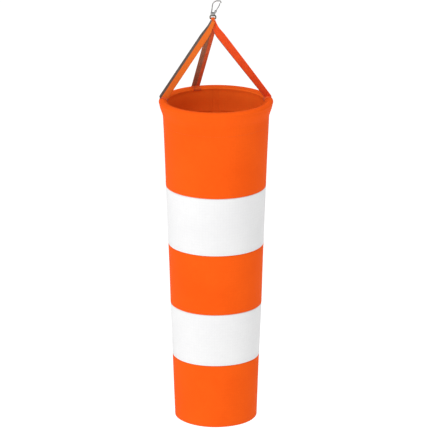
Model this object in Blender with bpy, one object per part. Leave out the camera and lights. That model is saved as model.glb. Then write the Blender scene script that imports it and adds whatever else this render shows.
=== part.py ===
"""Hanging windsock: a tapering fabric tube of five bands, sewn over a mouth hoop, carried by a
three-strap webbing bridle and a swivelling snap hook.

Metres, +Z up. The origin is the hang point, the inner top of the hook's bow. +X is to the right
and +Y is away from the viewer. The snap hook lies in the XZ plane, and the sock hangs below it.
"""

from math import cos, pi, radians, sin

import bmesh
import bpy
from mathutils import Vector

# --- Driving dimensions -------------------------------------------------------------------------
GAP = 0.0003  # clearance between pieces that rest on each other
RUNNING_GAP = 0.00015  # radial clearance of a pin that turns in its hole

# Sock
SOCK_AXIS_X = -0.005  # the tube's axis, beside the hang point
HOOP_PLANE_Z = -0.1872  # the middle plane of the mouth hoop
BAND_LENGTHS = (0.1585, 0.1104, 0.1155, 0.1004, 0.122)  # from the hoop's plane down to the tail
FABRIC = 0.001  # thickness of a fabric wall
NECK_RADIUS = 0.0974  # outside of the fabric just below the flared hem
NECK_DROP = 0.029  # from the hoop's plane down to the neck
TAIL_RADIUS = 0.0764  # outside of the fabric at the tail
LAP = 0.008  # how far a band reaches up inside the band above it
LAP_STEP = 0.0015  # height of the jog below a lap seam
TUBE_SIDES = 40  # facets around the sock
HOOP_SIDES = 10  # facets around the hoop's tube

# Mouth hoop, a plastic tube bent to a ring and joined by a plug
HOOP_RADIUS = 0.097  # ring, to the middle of the tube
HOOP_TUBE_RADIUS = 0.004
HOOP_BORE_RADIUS = 0.0025
HOOP_SPLIT_STEP = 7  # where round the ring the tube's two ends meet, in facets from +X
PLUG_COLLAR = 0.0012  # the plug's collar, between the two ends
HEM_SLACK = 0.0028  # how much further the hem stands out sideways than it does upwards
HEM_ARC_DEG = (-30, 240)  # round the hem's section: 0 is outwards, 90 is up
HEM_STEP_DEG = 30
FLAP_DROP = 0.017  # from the hoop's plane down to the edge of the turned-in hem

# Bridle
WEB_WIDTH = 0.0155
WEB_THICK = 0.0012
WEB_TOP_WIDTH = 0.0095  # where a strap is gathered into the crown
CROWN_Z = -0.0355  # top of the straps
CROWN_DROP = 0.0165  # from there down to where a strap has left the crown
CROWN_SPREAD = 0.014  # from there on to where a strap has its full width
STRAP_AZIMUTHS = {"left": 176.0, "right": 8.0, "rear": 113.0}  # degrees from +X round the hoop
CROWN_LEANS = {"left": -0.0081, "right": 0.0055, "rear": -0.0026}  # sideways over CROWN_DROP
FACE_TURNS = {"left": 0.0, "right": -40.0, "rear": 12.0}  # degrees that a strap twists to its foot
TWIST_STEPS = 9
END_ARC_DEG = (150, 210)  # round the hem's section, the stretch that a strap's end covers

# Crown loop, folded narrow, through the swivel eye
LOOP_WIDTH = 0.0066
LOOP_DROP = 0.018  # length of its legs

# Swivel snap hook
SWIVEL_AXIS_X = -0.0105
WIRE_RADIUS = 0.0012
EYE_WIRE_RADIUS = 0.0013
EYE_BAR_Z = -0.032  # middle of the eye's lower bar, where the crown loop swings
EYE_HEIGHT = 0.0057  # between the middles of its two bars
EYE_HALF_WIDTH = 0.0051  # to the middle of its side wires
EYE_CORNER = 0.0016
STEM_RADIUS = 0.0014
HEAD_RADIUS = 0.0026
HEAD_HEIGHT = 0.0014
BOSS_RADIUS = 0.0044
BOSS_HEIGHT = 0.0039
BOSS_FLOOR = 0.0015
PIVOT_X = -0.0056  # the gate's rivet
PIVOT_Z = -0.0184
RIVET_RADIUS = 0.0008
RIVET_HEAD_RADIUS = 0.0015
RIVET_HEAD = 0.0007
EAR_GAP = 0.0036  # between the two ears that hold the rivet
EAR_THICK = 0.0011
EAR_RADIUS = 0.0021
EAR_ROOT = 0.0015  # how deep the ears reach into the boss
EAR_INSET = 0.0006  # from the boss's side to the ears
EAR_FOOT_WIDTH = 0.0026
HUB_RADIUS = 0.0017
HUB_WIDTH = 0.0014
GATE_WIRE_RADIUS = 0.0010
SPRING_WIRE_RADIUS = 0.0002
SPRING_TURNS = 1.5
NOSE_X = 0.0042  # the hook's nose, outside the gate's tip
NOSE_Z = -0.0030
GATE_TIP_Z = -0.0034

# --- Sizes that follow from them ----------------------------------------------------------------
TAIL_DROP = sum(BAND_LENGTHS)
HEM_HALF_HEIGHT = HOOP_TUBE_RADIUS + GAP + FABRIC / 2  # of the hem's section, to mid-fabric
HEM_HALF_WIDTH = HEM_HALF_HEIGHT + HEM_SLACK
HEM_FACET = HOOP_RADIUS * (1 - cos(pi / TUBE_SIDES))  # how far a facet's middle lies inside the ring
HEM_TOP_Z = HOOP_PLANE_Z + HEM_HALF_HEIGHT + FABRIC / 2
EYE_TOP_Z = EYE_BAR_Z + EYE_HEIGHT
BOSS_BOTTOM_Z = EYE_TOP_Z + EYE_WIRE_RADIUS + GAP
BOSS_TOP_Z = BOSS_BOTTOM_Z + BOSS_HEIGHT
HEAD_BOTTOM_Z = BOSS_BOTTOM_Z + BOSS_FLOOR + GAP
LAYER = WEB_THICK + GAP  # pitch of the webbing layers stacked in the crown
LOOP_HALF_GAP = (2 * WEB_THICK + 3 * GAP) / 2  # two straps lie between the loop's legs


def material(name, colour, roughness, metallic=0.0):
    made = bpy.data.materials.new(name)
    made.use_nodes = True
    shader = made.node_tree.nodes["Principled BSDF"]
    shader.inputs["Base Color"].default_value = (*colour, 1.0)
    shader.inputs["Roughness"].default_value = roughness
    shader.inputs["Metallic"].default_value = metallic
    made.diffuse_color = (*colour, 1.0)
    return made


def node(name, mesh, look, place=(0, 0, 0)):
    """An object named after its piece. The mesh is in world space, and place becomes its origin."""
    place = Vector(place)
    bmesh.ops.recalc_face_normals(mesh, faces=mesh.faces)
    if mesh.calc_volume(signed=True) < 0:
        bmesh.ops.reverse_faces(mesh, faces=mesh.faces)
    bmesh.ops.translate(mesh, vec=-place, verts=mesh.verts)
    data = bpy.data.meshes.new(name)
    mesh.to_mesh(data)
    mesh.free()
    data.shade_smooth()
    data.set_sharp_from_angle(angle=radians(35))
    data.materials.append(look)
    made = bpy.data.objects.new(name, data)
    made.location = place
    bpy.context.scene.collection.objects.link(made)
    return made


def helper(name, mesh):
    """A shape that only joins or cuts another."""
    made = node(name, mesh, LOOKS["helper"])
    made.hide_render = True
    made.display_type = "WIRE"
    return made


def combine(target, other, operation):
    modifier = target.modifiers.new(other.name, "BOOLEAN")
    modifier.operation = operation
    modifier.solver = "EXACT"
    modifier.object = other


# --- Shape builders -----------------------------------------------------------------------------
def skin_rings(mesh, rings, closed):
    """Joins rings of points into a skin. An open run of rings gets a cap at each end."""
    loops = [[mesh.verts.new(p) for p in ring] for ring in rings]
    count = len(loops[0])
    pairs = list(zip(loops, loops[1:] + loops[:1] if closed else loops[1:], strict=False))
    for low, high in pairs:
        for i in range(count):
            j = (i + 1) % count
            mesh.faces.new((low[i], low[j], high[j], high[i]))
    if not closed:
        mesh.faces.new(reversed(loops[0]))
        mesh.faces.new(loops[-1])
    return mesh


def lathe(profile, sides, start=0.0, sweep=2 * pi, axis_x=SOCK_AXIS_X):
    """Turns a closed (radius, z) outline round a vertical axis, fully or through part of a turn."""
    whole = abs(sweep - 2 * pi) < 1e-9
    steps = sides if whole else sides + 1
    rings = []
    for k in range(steps):
        angle = start + sweep * k / sides
        rings.append([(axis_x + r * cos(angle), r * sin(angle), z) for r, z in profile])
    return skin_rings(bmesh.new(), rings, whole)


def disc_ring(centre, side, up, radius, sides):
    return [
        centre + side * (radius * cos(2 * pi * i / sides)) + up * (radius * sin(2 * pi * i / sides))
        for i in range(sides)
    ]


def tube(points, radius, sides=10, closed=False):
    """A round wire along points, its section carried on without twist."""
    points = [Vector(p) for p in points]
    count = len(points)
    rings = []
    side = None
    for i, p in enumerate(points):
        before = points[i - 1] if i or closed else p
        after = points[(i + 1) % count] if i < count - 1 or closed else p
        along = (after - before).normalized()
        if side is None:
            side = along.orthogonal().normalized()
            if closed:
                side = Vector((0, 1, 0))
        side = (side - along * side.dot(along)).normalized()
        rings.append(disc_ring(p, side, along.cross(side), radius, sides))
    return skin_rings(bmesh.new(), rings, closed)


def cylinder(centre, axis, radius, length, sides=24):
    """A round bar whose middle is at centre."""
    axis = Vector(axis).normalized()
    half = axis * (length / 2)
    centre = Vector(centre)
    side = axis.orthogonal().normalized()
    rings = [disc_ring(centre + s * half, side, axis.cross(side), radius, sides) for s in (-1, 1)]
    return skin_rings(bmesh.new(), rings, False)


def plate(outline, y_low, y_high):
    """An outline in the XZ plane, thickened along Y."""
    rings = [[(x, y, z) for x, z in outline] for y in (y_low, y_high)]
    return skin_rings(bmesh.new(), rings, False)


def thick_line(points, thickness):
    """The closed outline of a wall of even thickness along a (radius, z) line."""
    count = len(points)
    left, right = [], []
    for i, (r, z) in enumerate(points):
        (r0, z0), (r1, z1) = points[max(i - 1, 0)], points[min(i + 1, count - 1)]
        if 0 < i < count - 1:
            before = Vector((r - r0, z - z0)).normalized()
            after = Vector((r1 - r, z1 - z)).normalized()
            along = (before + after).normalized()
            stretch = 1 / max(along.dot(after), 0.5)
        else:
            along, stretch = Vector((r1 - r0, z1 - z0)).normalized(), 1
        across = Vector((-along.y, along.x)) * (thickness / 2 * stretch)
        left.append((r + across.x, z + across.y))
        right.append((r - across.x, z - across.y))
    return left + right[::-1]


def smooth_curve(points, steps):
    """A Catmull-Rom curve through points."""
    points = [Vector(p) for p in points]
    ends = [2 * points[0] - points[1], *points, 2 * points[-1] - points[-2]]
    found = []
    for a, b, c, d in zip(ends, ends[1:], ends[2:], ends[3:], strict=False):
        for k in range(steps):
            t = k / steps
            found.append(
                0.5 * (2 * b + (c - a) * t + (2 * a - 5 * b + 4 * c - d) * t**2
                       + (3 * b - a - 3 * c + d) * t**3)
            )
    return [*found, points[-1]]


# --- Sock ---------------------------------------------------------------------------------------
def wall_radius(drop):
    """Outside radius of the tapering fabric, at a drop below the hoop's plane."""
    taper = (NECK_RADIUS - TAIL_RADIUS) / (TAIL_DROP - NECK_DROP)
    return NECK_RADIUS - taper * (drop - NECK_DROP)


def hem_point(degrees, out=0.0):
    """A (radius, drop) point round the hem's section: 0 is outwards, 90 is up. out is outside mid-fabric."""
    a = radians(degrees)
    return (
        HOOP_RADIUS + (HEM_HALF_WIDTH + out) * cos(a),
        -(HEM_HALF_HEIGHT + out) * sin(a),
    )


def neck_line(drop):
    """Middle of the fabric between the neck and the flared hem."""
    (top_r, top_drop), low_r = hem_point(HEM_ARC_DEG[0]), wall_radius(NECK_DROP) - FABRIC / 2
    t = (NECK_DROP - drop) / (NECK_DROP - top_drop)
    return low_r + (top_r - low_r) * t * t * (3 - 2 * t)


def mouth_profile():
    """Up the wall, over the hoop and back down inside, as one thin line."""
    middle = [(wall_radius(BAND_LENGTHS[0]) - FABRIC / 2, BAND_LENGTHS[0])]
    _, hem_drop = hem_point(HEM_ARC_DEG[0])
    for k in range(5):
        drop = NECK_DROP + (hem_drop - NECK_DROP) * k / 5
        middle.append((neck_line(drop), drop))
    middle += [hem_point(a) for a in range(HEM_ARC_DEG[0], HEM_ARC_DEG[1] + 1, HEM_STEP_DEG)]
    inset = FABRIC + GAP
    for drop in (FLAP_DROP - 0.005, FLAP_DROP):
        middle.append((neck_line(drop) - inset, drop))
    return middle


def band_profile(top, bottom):
    """A band whose top is tucked inside the band above."""
    inset = FABRIC + GAP
    return [
        (wall_radius(top - LAP) - FABRIC / 2 - inset, top - LAP),
        (wall_radius(top) - FABRIC / 2 - inset, top + GAP),
        (wall_radius(top) - FABRIC / 2, top + GAP + LAP_STEP),
        (wall_radius(bottom) - FABRIC / 2, bottom),
    ]


def sock_panels():
    names = ("orange_mouth", "white_upper", "orange_middle", "white_lower", "orange_tail")
    top = 0.0
    for name, length in zip(names, BAND_LENGTHS, strict=True):
        line = mouth_profile() if top == 0 else band_profile(top, top + length)
        outline = thick_line([(r, HOOP_PLANE_Z - drop) for r, drop in line], FABRIC)
        look = LOOKS["orange_fabric" if name.startswith("orange") else "white_fabric"]
        node(f"panel_{name}", lathe(outline, TUBE_SIDES), look,
             (SOCK_AXIS_X, 0, HOOP_PLANE_Z - top))
        top += length


def hoop_point(angle):
    return Vector((SOCK_AXIS_X + HOOP_RADIUS * cos(angle), HOOP_RADIUS * sin(angle), HOOP_PLANE_Z))


def ring_sections(angles, radius, sides):
    """Round sections of the hoop's tube at angles round the ring."""
    rings = []
    for a in angles:
        outward = Vector((cos(a), sin(a), 0))
        rings.append(disc_ring(hoop_point(a), outward, Vector((0, 0, 1)), radius, sides))
    return rings


def mouth_hoop():
    """The split tube and the plug that joins its two ends."""
    step = 2 * pi / TUBE_SIDES
    split = step * HOOP_SPLIT_STEP
    collar = PLUG_COLLAR / HOOP_RADIUS / 2  # half of the plug's collar, as an angle
    clear = collar + GAP / HOOP_RADIUS
    inside = [split + step * k for k in range(1, TUBE_SIDES)]
    angles = [split + clear, *inside, split + 2 * pi - clear]
    outer = ring_sections(angles, HOOP_TUBE_RADIUS, HOOP_SIDES)
    bore = ring_sections(angles, HOOP_BORE_RADIUS, HOOP_SIDES)
    mesh = bmesh.new()
    skins = [[[mesh.verts.new(p) for p in ring] for ring in rings] for rings in (outer, bore)]
    for k, skin in enumerate(skins):
        for low, high in zip(skin, skin[1:], strict=False):
            for i in range(HOOP_SIDES):
                j = (i + 1) % HOOP_SIDES
                quad = (low[i], low[j], high[j], high[i])
                mesh.faces.new(quad if k == 0 else quad[::-1])
    for end in (0, -1):
        for i in range(HOOP_SIDES):
            j = (i + 1) % HOOP_SIDES
            mesh.faces.new((skins[0][end][i], skins[0][end][j], skins[1][end][j], skins[1][end][i]))
    node("hoop", mesh, LOOKS["hoop_plastic"], hoop_point(split))

    reach = (clear, step, 2 * step)
    plug_angles = [split - a for a in reversed(reach)] + [split + a for a in reach]
    rod = ring_sections(plug_angles, HOOP_BORE_RADIUS - GAP, HOOP_SIDES)
    plug = node("hoop_plug", skin_rings(bmesh.new(), rod, False), LOOKS["plug_plastic"],
                hoop_point(split))
    ring = ring_sections((split - collar, split + collar), HOOP_TUBE_RADIUS, HOOP_SIDES)
    combine(plug, helper("plug_collar", skin_rings(bmesh.new(), ring, False)), "UNION")


# --- Bridle -------------------------------------------------------------------------------------
def crown_layer(side):
    """How far from the loop's middle plane a strap lies in the crown's stack."""
    layers = {"left": -(LOOP_HALF_GAP + WEB_THICK + GAP + WEB_THICK / 2),
              "right": -LAYER / 2, "rear": LAYER / 2}
    return layers[side]


def hem_crest(side):
    azimuth = radians(STRAP_AZIMUTHS[side])
    return Vector((SOCK_AXIS_X + HOOP_RADIUS * cos(azimuth), HOOP_RADIUS * sin(azimuth),
                   HEM_TOP_Z + GAP))


def strap(side):
    """A flat strap from the crown down to the hem's crest, its face to the viewer at the crown."""
    top = Vector((SWIVEL_AXIS_X, crown_layer(side), CROWN_Z))
    knee = top + Vector((CROWN_LEANS[side], 0, -CROWN_DROP))
    foot = hem_crest(side)
    full = knee + (foot - knee).normalized() * CROWN_SPREAD
    stations = [(top, WEB_TOP_WIDTH), (knee, (WEB_TOP_WIDTH + WEB_WIDTH) / 2)]
    for k in range(TWIST_STEPS + 1):
        stations.append((full.lerp(foot, k / TWIST_STEPS), WEB_WIDTH))
    last = len(stations) - 1
    rings = []
    for i, (p, width) in enumerate(stations):
        before, after = stations[max(i - 1, 0)][0], stations[min(i + 1, last)][0]
        along = (after - before).normalized()
        turn = radians(FACE_TURNS[side]) * max(0, knee.z - p.z) / (knee.z - foot.z)
        face = Vector((sin(turn), -cos(turn), 0))
        across = along.cross(face).normalized()
        if i in (0, last):  # the two ends are cut level
            level = Vector((across.x, across.y, 0)).normalized()
            across = level / max(abs(level.dot(across)), 0.5)
        half = across * (width / 2)
        through = face * (-WEB_THICK / 2)
        rings.append([p - half - through, p + half - through, p + half + through, p - half + through])
    node(f"strap_{side}", skin_rings(bmesh.new(), rings, False), LOOKS["webbing"], top)


def strap_end(side):
    """A strap's own end, turned over the hem and sewn to its inside."""
    low, high = END_ARC_DEG
    out = FABRIC / 2 + GAP + HEM_FACET + WEB_THICK / 2
    arc = [hem_point(a, out) for a in range(low, high + 1, HEM_STEP_DEG)]
    outline = thick_line([(r, HOOP_PLANE_Z - drop) for r, drop in arc], WEB_THICK)
    inner = HOOP_RADIUS - HEM_HALF_WIDTH
    width = WEB_WIDTH / inner
    azimuth = radians(STRAP_AZIMUTHS[side])
    shape = lathe(outline, 4, azimuth - width / 2, width)
    place = (SOCK_AXIS_X + inner * cos(azimuth), inner * sin(azimuth), HOOP_PLANE_Z)
    node(f"strap_end_{side}", shape, LOOKS["webbing"], place)


def crown_loop():
    """Webbing folded over the eye's lower bar, with a leg on each side of the straps."""
    radius = LOOP_HALF_GAP + WEB_THICK / 2
    fold_z = EYE_BAR_Z + EYE_WIRE_RADIUS + GAP - LOOP_HALF_GAP
    foot_z = fold_z - LOOP_DROP
    line = [(-radius, foot_z)]
    line += [(-radius * cos(pi * k / 8), fold_z + radius * sin(pi * k / 8)) for k in range(9)]
    line += [(radius, foot_z)]
    outline = thick_line(line, WEB_THICK)
    rings = [[(SWIVEL_AXIS_X + x, y, z) for y, z in outline] for x in (-LOOP_WIDTH / 2, LOOP_WIDTH / 2)]
    node("crown_loop", skin_rings(bmesh.new(), rings, False), LOOKS["webbing"],
         (SWIVEL_AXIS_X, 0, EYE_BAR_Z))


# --- Swivel snap hook ---------------------------------------------------------------------------
def swivel_eye():
    """The eye, its stem through the hook's boss, and the head that holds it there."""
    line = []
    corners = ((1, 1, 0), (-1, 1, 90), (-1, -1, 180), (1, -1, 270))
    for sx, sz, start in corners:
        cx = SWIVEL_AXIS_X + sx * (EYE_HALF_WIDTH - EYE_CORNER)
        cz = (EYE_BAR_Z if sz < 0 else EYE_TOP_Z) - sz * EYE_CORNER
        for k in range(5):
            a = radians(start + 90 * k / 4)
            line.append((cx + EYE_CORNER * cos(a), 0, cz + EYE_CORNER * sin(a)))
    place = (SWIVEL_AXIS_X, 0, BOSS_BOTTOM_Z)
    eye = node("swivel_eye", tube(line, EYE_WIRE_RADIUS, 10, closed=True), LOOKS["steel"], place)
    stem_top = HEAD_BOTTOM_Z + HEAD_HEIGHT / 2
    stem_middle = (SWIVEL_AXIS_X, 0, (EYE_TOP_Z + stem_top) / 2)
    stem = cylinder(stem_middle, (0, 0, 1), STEM_RADIUS, stem_top - EYE_TOP_Z, 16)
    combine(eye, helper("swivel_stem", stem), "UNION")
    head_middle = (SWIVEL_AXIS_X, 0, HEAD_BOTTOM_Z + HEAD_HEIGHT / 2)
    head = cylinder(head_middle, (0, 0, 1), HEAD_RADIUS, HEAD_HEIGHT, 20)
    combine(eye, helper("swivel_head", head), "UNION")


def ear_outline():
    top = [
        (PIVOT_X + EAR_RADIUS * cos(radians(a)), PIVOT_Z + EAR_RADIUS * sin(radians(a)))
        for a in range(-20, 181, 25)
    ]
    foot_z = BOSS_TOP_Z - EAR_ROOT
    right = SWIVEL_AXIS_X + BOSS_RADIUS - EAR_INSET
    return [*top, (right - EAR_FOOT_WIDTH, foot_z), (right, foot_z)]


def hook_body():
    """The wire bow on its boss, with the two ears that carry the gate."""
    bow = smooth_curve(
        [
            (SWIVEL_AXIS_X - 0.0031, 0, BOSS_TOP_Z - 0.0016),
            (SWIVEL_AXIS_X - 0.0020, 0, BOSS_TOP_Z + 0.0050),
            (SWIVEL_AXIS_X - 0.0012, 0, -0.0100),
            (SWIVEL_AXIS_X - 0.0004, 0, -0.0048),
            (-0.0082, 0, -0.0008),
            (-0.0040, 0, WIRE_RADIUS),
            (0.0002, 0, WIRE_RADIUS),
            (0.0032, 0, 0.0006),
            (NOSE_X, 0, NOSE_Z),
        ],
        4,
    )
    body = node("hook_body", tube(bow, WIRE_RADIUS, 10), LOOKS["steel"])
    middle_z = (BOSS_BOTTOM_Z + BOSS_TOP_Z) / 2
    boss = cylinder((SWIVEL_AXIS_X, 0, middle_z), (0, 0, 1), BOSS_RADIUS, BOSS_HEIGHT, 28)
    combine(body, helper("boss", boss), "UNION")
    for name, s in (("ear_front", -1), ("ear_back", 1)):
        ys = sorted((s * EAR_GAP / 2, s * (EAR_GAP / 2 + EAR_THICK)))
        combine(body, helper(name, plate(ear_outline(), *ys)), "UNION")
    recess_low = BOSS_BOTTOM_Z + BOSS_FLOOR
    recess_high = BOSS_TOP_Z + GAP
    recess = cylinder((SWIVEL_AXIS_X, 0, (recess_low + recess_high) / 2), (0, 0, 1),
                      HEAD_RADIUS + GAP, recess_high - recess_low, 20)
    combine(body, helper("head_recess", recess), "DIFFERENCE")
    hole = cylinder((SWIVEL_AXIS_X, 0, recess_low), (0, 0, 1), STEM_RADIUS + GAP,
                    4 * BOSS_FLOOR, 20)
    combine(body, helper("stem_hole", hole), "DIFFERENCE")
    pin = cylinder((PIVOT_X, 0, PIVOT_Z), (0, 1, 0), RIVET_RADIUS + RUNNING_GAP,
                   EAR_GAP + 4 * EAR_THICK, 16)
    combine(body, helper("rivet_hole", pin), "DIFFERENCE")


def gate():
    """The sprung side of the hook, from its hub on the rivet up to the nose."""
    place = (PIVOT_X, 0, PIVOT_Z)
    tip_x = NOSE_X - WIRE_RADIUS - GAP - GATE_WIRE_RADIUS
    hub_low = -EAR_GAP / 2 + GAP
    hub_middle = (PIVOT_X, hub_low + HUB_WIDTH / 2, PIVOT_Z)
    hub = cylinder(hub_middle, (0, 1, 0), HUB_RADIUS, HUB_WIDTH, 20)
    bar = smooth_curve(
        [
            (PIVOT_X + 0.0004, 0, PIVOT_Z + 0.0006),
            (-0.0016, 0, -0.0118),
            (tip_x - 0.0004, 0, -0.0066),
            (tip_x, 0, GATE_TIP_Z),
        ],
        4,
    )
    body = node("gate", tube(bar, GATE_WIRE_RADIUS, 10), LOOKS["steel"], place)
    room_low = hub_low + HUB_WIDTH
    room_high = EAR_GAP / 2 + EAR_THICK
    room = cylinder((PIVOT_X, (room_low + room_high) / 2, PIVOT_Z), (0, 1, 0), HUB_RADIUS + GAP,
                    room_high - room_low, 24)
    combine(body, helper("spring_room", room), "DIFFERENCE")
    combine(body, helper("gate_hub", hub), "UNION")
    pin = cylinder((PIVOT_X, 0, PIVOT_Z), (0, 1, 0), RIVET_RADIUS + RUNNING_GAP, 2 * EAR_GAP, 16)
    combine(body, helper("gate_bore", pin), "DIFFERENCE")


def gate_rivet():
    length = EAR_GAP + 2 * EAR_THICK + 2 * GAP
    place = (PIVOT_X, 0, PIVOT_Z)
    shaft = cylinder(place, (0, 1, 0), RIVET_RADIUS, length + RIVET_HEAD, 16)
    rivet = node("gate_rivet", shaft, LOOKS["steel"], place)
    for name, s in (("rivet_head_front", -1), ("rivet_head_back", 1)):
        middle = (PIVOT_X, s * (length + RIVET_HEAD) / 2, PIVOT_Z)
        combine(rivet, helper(name, cylinder(middle, (0, 1, 0), RIVET_HEAD_RADIUS, RIVET_HEAD, 16)),
                "UNION")


def gate_spring():
    """A small torsion coil round the rivet, between the hub and the back ear."""
    radius = RIVET_RADIUS + GAP + SPRING_WIRE_RADIUS
    low = -EAR_GAP / 2 + GAP + HUB_WIDTH + GAP + SPRING_WIRE_RADIUS
    high = EAR_GAP / 2 - GAP - SPRING_WIRE_RADIUS
    turn = 12
    count = round(SPRING_TURNS * turn)
    line = []
    for k in range(count + 1):
        a = 2 * pi * k / turn
        line.append((PIVOT_X + radius * cos(a), low + (high - low) * k / count,
                     PIVOT_Z + radius * sin(a)))
    node("gate_spring", tube(line, SPRING_WIRE_RADIUS, 6), LOOKS["steel"], (PIVOT_X, 0, PIVOT_Z))


for leftover in list(bpy.data.objects):
    bpy.data.objects.remove(leftover, do_unlink=True)

LOOKS = {
    "orange_fabric": material("orange_fabric", (0.95, 0.13, 0.012), 0.75),
    "white_fabric": material("white_fabric", (0.86, 0.86, 0.86), 0.75),
    "webbing": material("webbing", (0.80, 0.10, 0.010), 0.8),
    "steel": material("steel", (0.35, 0.35, 0.36), 0.3, 1.0),
    "hoop_plastic": material("hoop_plastic", (0.75, 0.75, 0.72), 0.5),
    "plug_plastic": material("plug_plastic", (0.05, 0.05, 0.05), 0.5),
    "helper": material("helper", (0.5, 0.5, 0.5), 0.5),
}

hook_body()
gate()
gate_rivet()
gate_spring()
swivel_eye()
crown_loop()
for end in STRAP_AZIMUTHS:
    strap(end)
    strap_end(end)
mouth_hoop()
sock_panels()
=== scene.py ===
"""Hanging windsock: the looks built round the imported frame.

Metres, +Z up. The sewn fabric tube, its webbing bridle and the thread are built here, and the
metal and plastic pieces keep their CAD shapes with better materials.
"""

import math

import bmesh
import bpy
import numpy as np
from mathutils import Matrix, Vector


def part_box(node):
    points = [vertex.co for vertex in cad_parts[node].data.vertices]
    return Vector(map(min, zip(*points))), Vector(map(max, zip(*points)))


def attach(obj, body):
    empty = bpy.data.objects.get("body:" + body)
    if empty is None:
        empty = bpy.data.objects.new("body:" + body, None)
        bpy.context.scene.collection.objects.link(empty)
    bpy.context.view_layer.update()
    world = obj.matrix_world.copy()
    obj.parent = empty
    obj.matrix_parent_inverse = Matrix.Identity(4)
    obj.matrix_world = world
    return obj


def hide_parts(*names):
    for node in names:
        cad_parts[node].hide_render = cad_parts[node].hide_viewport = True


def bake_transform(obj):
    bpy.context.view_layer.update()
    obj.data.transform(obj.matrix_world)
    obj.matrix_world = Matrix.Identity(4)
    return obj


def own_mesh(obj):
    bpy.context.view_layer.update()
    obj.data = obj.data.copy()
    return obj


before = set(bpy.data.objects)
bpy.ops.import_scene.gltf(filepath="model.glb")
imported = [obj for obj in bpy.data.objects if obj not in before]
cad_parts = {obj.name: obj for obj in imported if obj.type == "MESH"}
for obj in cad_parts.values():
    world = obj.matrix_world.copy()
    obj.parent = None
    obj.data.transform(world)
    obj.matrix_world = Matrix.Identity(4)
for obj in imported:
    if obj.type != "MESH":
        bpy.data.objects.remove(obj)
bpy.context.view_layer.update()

# --- The tube's sizes ----------------------------------------------------------------------------
HOOP_LOW, HOOP_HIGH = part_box("hoop")
AXIS_X = (HOOP_LOW.x + HOOP_HIGH.x) / 2  # the tube's axis
HOOP_Z = (HOOP_LOW.z + HOOP_HIGH.z) / 2  # the hoop's middle plane
HOOP_TUBE = (HOOP_HIGH.z - HOOP_LOW.z) / 2
BANDS = ("panel_orange_mouth", "panel_white_upper", "panel_orange_middle", "panel_white_lower",
         "panel_orange_tail")
BODIES = ("mouth", "band_white_upper", "band_orange_middle", "band_white_lower",
          "band_orange_tail")
SEAM_Z = [HOOP_Z] + [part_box(name)[0].z for name in BANDS]  # each band's upper and lower seam
DROPS = [HOOP_Z - z for z in SEAM_Z]
HOOP_RADIUS = 0.097  # ring, to the middle of its tube
NECK_RADIUS = 0.0974  # of the CAD's wall just below the flared hem
NECK_DROP = 0.029  # from the hoop's plane down to there
TAIL_RADIUS = 0.0764
HEM_HALF_HEIGHT = HOOP_TUBE + 0.0008
HEM_HALF_WIDTH = HEM_HALF_HEIGHT + 0.0028
HEM_START_DEG = -30  # where the cloth meets the hem's round; 0 is outwards and 90 is up
HEM_END_DEG = 204  # where it leaves it, inside
HEM_STEP_DEG = 9.0
FLAP_DROP = 0.044  # from the hoop's plane down to the edge of the turned-in flap
FLAP_SEAM = 0.0035  # from that edge up to its row of stitches
FLAP_ROWS = 20  # steps of the mouth's cloth from the hem's crest in to the flap's edge
INSIDE_ROWS = 13  # the last of those, which face the mouth's opening
LAP = 0.008  # how much of a lower band is tucked into the band above it
LAP_INSET = 0.0012  # how far a tucked top lies inside the band above it
LAP_STEP = 0.0018  # the drop over which it comes out again
FABRIC = 0.00055  # thickness of the cloth
CLOTH_INSET = 0.0005  # from the CAD's outer face in to the middle of the cloth
WEAVE_PITCH = 0.00045  # of the cloth's threads
RIPSTOP_PITCH = 0.0055  # of the cloth's grid of thicker threads
UV_RADIUS = 0.0905  # turns angles round the tube into metres of cloth
UV_STEP = 0.2  # between two bands' places on the cloth
CALM_DROP = 0.012  # the cloth has no swells above this drop
CALM_REACH = 0.05  # the drop over which they grow to their full height
PUCKER_RISE = 0.004  # of the gathers' middle above a seam
PUCKER_REACH = 0.009
PUCKER_SIZE = 0.00011
MEAN_RADIUS = 0.09  # turns lengths round the tube into angles
BACK_SEAM = math.pi / 2  # where the tube's lengthwise seam runs
SEAM_HALF = 0.0055  # half the width of the lengthwise seam
SEAM_THICK = 0.00065  # of its two folded edges, beyond the cloth
SEAM_EDGE = 0.0009  # over which it falls to the cloth
SEAM_ROW = 0.0036  # from its middle to each of its two rows of stitches
SEAM_FADE = (-0.004, 0.016)  # the drops between which it grows out of the hem
SEAM_ROW_TOP = 0.003  # from a band's upper edge down to the start of those rows
SEAM_ROW_LOW = 0.007  # from its lower edge up to their end
STITCH_PITCH = 0.0032
STITCH_SHARE = 0.72  # of the pitch that lies on the cloth
BAND_ROWS = (0.0022, 0.0058)  # from a band's lower edge up to its rows of stitches
THREAD_RADIUS = 0.00019
THREAD_ARCH = 0.00026
STRONG_THREAD_RADIUS = 0.00028  # of the thread in the webbing
STRONG_THREAD_ARCH = 0.0003

# --- The bridle's sizes --------------------------------------------------------------------------
CROWN_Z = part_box("strap_left")[1].z
SWIVEL_X = -0.0105
CROWN_DROP = 0.0165  # from the straps' tops down to where they part
WEB_WIDTH = 0.0155
WEB_TOP_WIDTH = 0.0095
WEB_WIDENS = 0.031  # the drop over which a strap reaches its full width
WEB_THICK = 0.0012
WEB_BOW = 0.000072  # how far its face rises towards its middle
WEB_RIB_PITCH = 0.0011  # of its herringbone's slanting ribs
WEB_ZIGZAGS = 3.0  # of the herringbone, across its width
WEB_YARNS = 26
END_THICK = 0.0009  # of a strap's sewn end
END_LIFT = 0.0007  # from the hem's cloth out to that end's middle
END_SPAN_DEG = (64, 200)  # where it starts and ends on the hem's round
END_ROWS_DEG = (126, 139, 152, 165, 178, 191)  # its rows of stitches
END_STITCH_LIFT = 0.0012  # from the hem's cloth out to its stitches
END_STITCH_PITCH = 0.0028
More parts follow.
